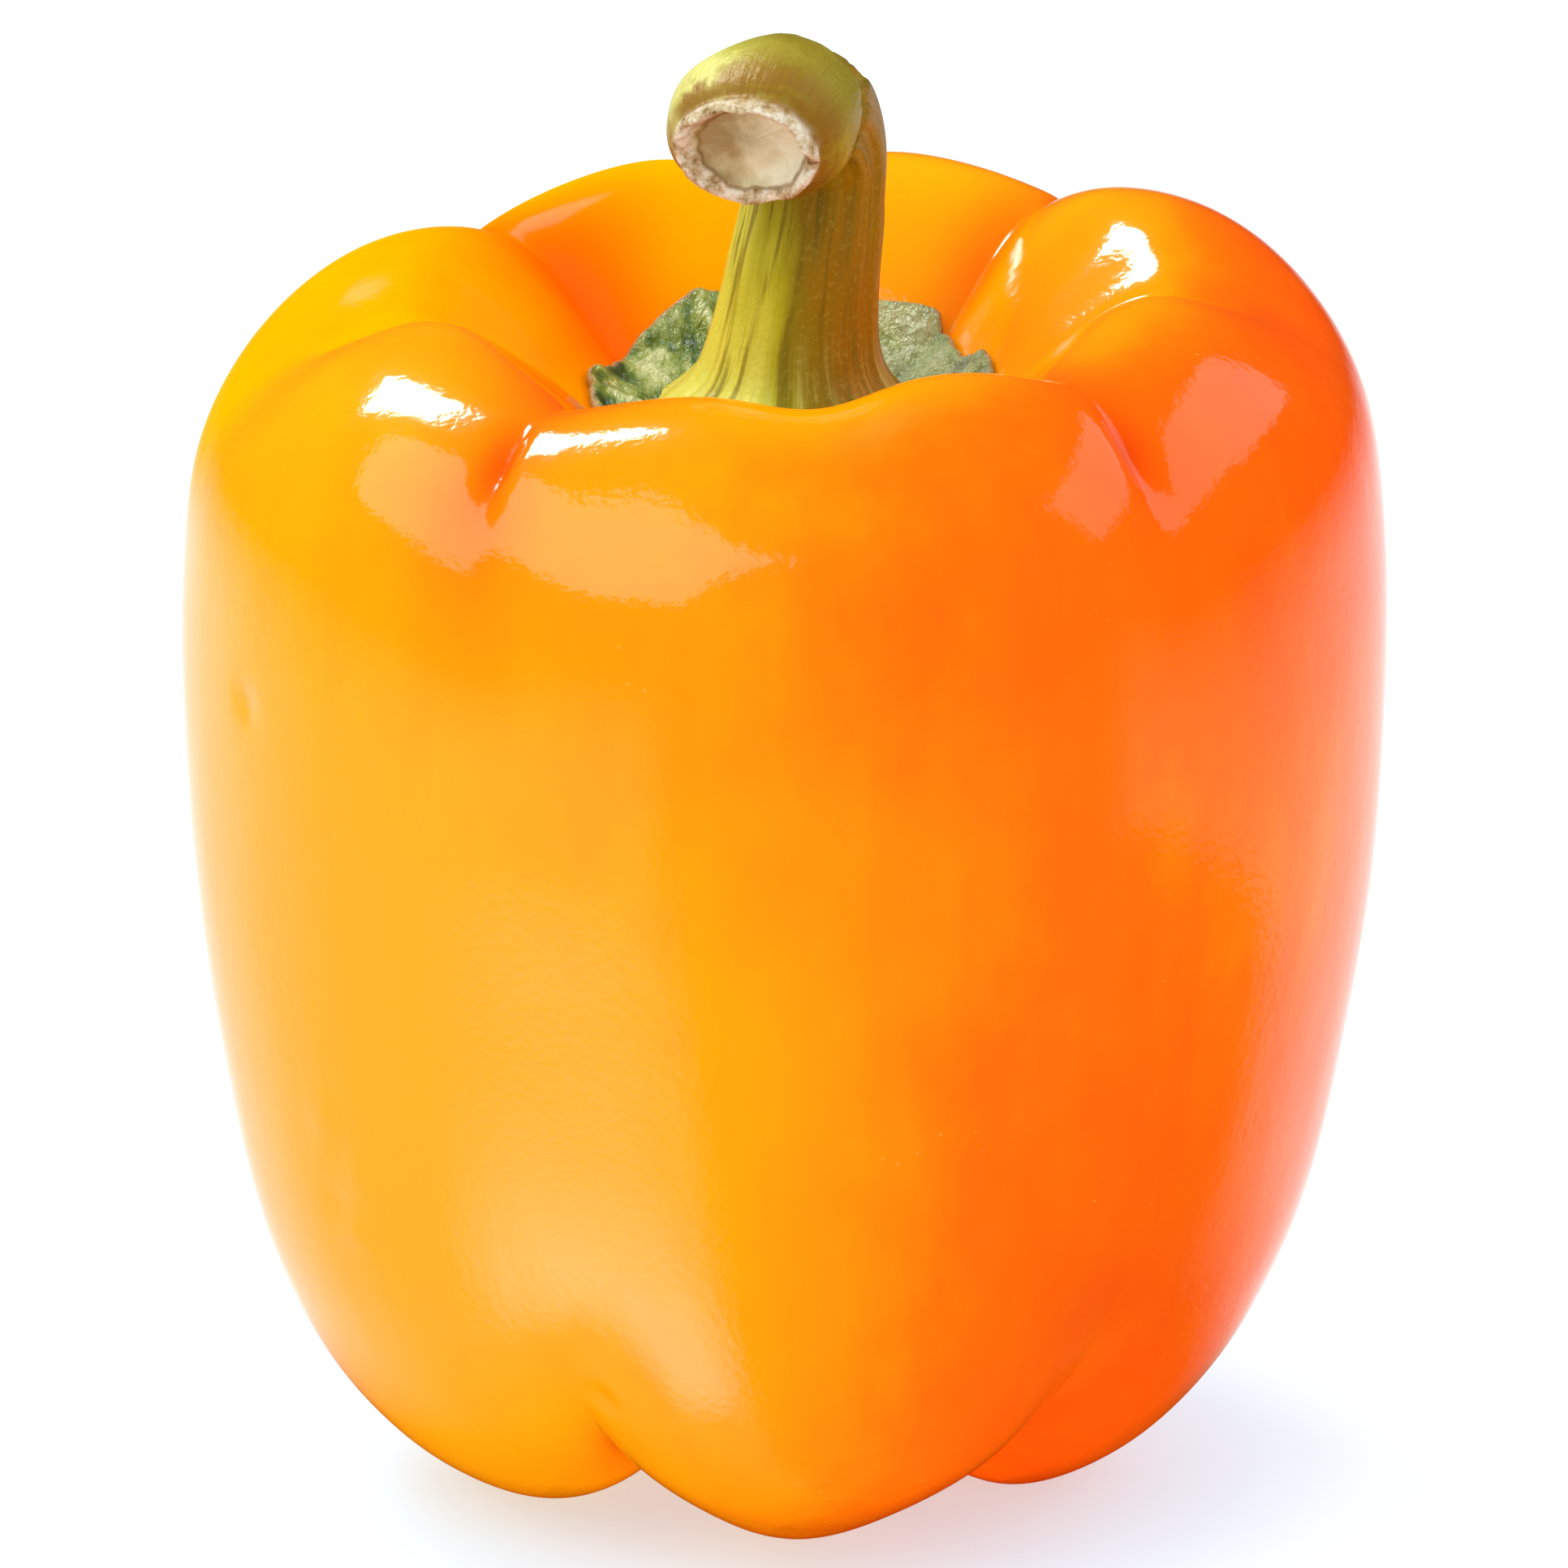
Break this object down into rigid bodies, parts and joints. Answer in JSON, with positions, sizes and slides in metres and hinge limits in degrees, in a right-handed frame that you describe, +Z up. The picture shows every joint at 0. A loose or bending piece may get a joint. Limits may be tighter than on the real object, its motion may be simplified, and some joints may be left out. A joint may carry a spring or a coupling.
{
  "type": "bell pepper",
  "caption": "Fresh orange bell pepper with a blocky lobed body, a green calyx in its top hollow and a cut, bent stem.",
  "frame": {"origin": "on the surface it stands on, under the middle of its bounding box", "axes": "+Z up along the fruit towards the stem, -Y towards the front, where the stem's cut end points, +X to the right"},
  "size_m": [0.0849, 0.0836, 0.1047],
  "materials": {
    "pepper_skin": "waxy gloss",
    "calyx_green": "dull, slightly waxy",
    "stem_green": "dull, slightly waxy"
  },
  "bodies": {
    "root": {"fruit": "pepper_skin", "calyx": "calyx_green", "stem": "stem_green"}
  },
  "joints": []
}
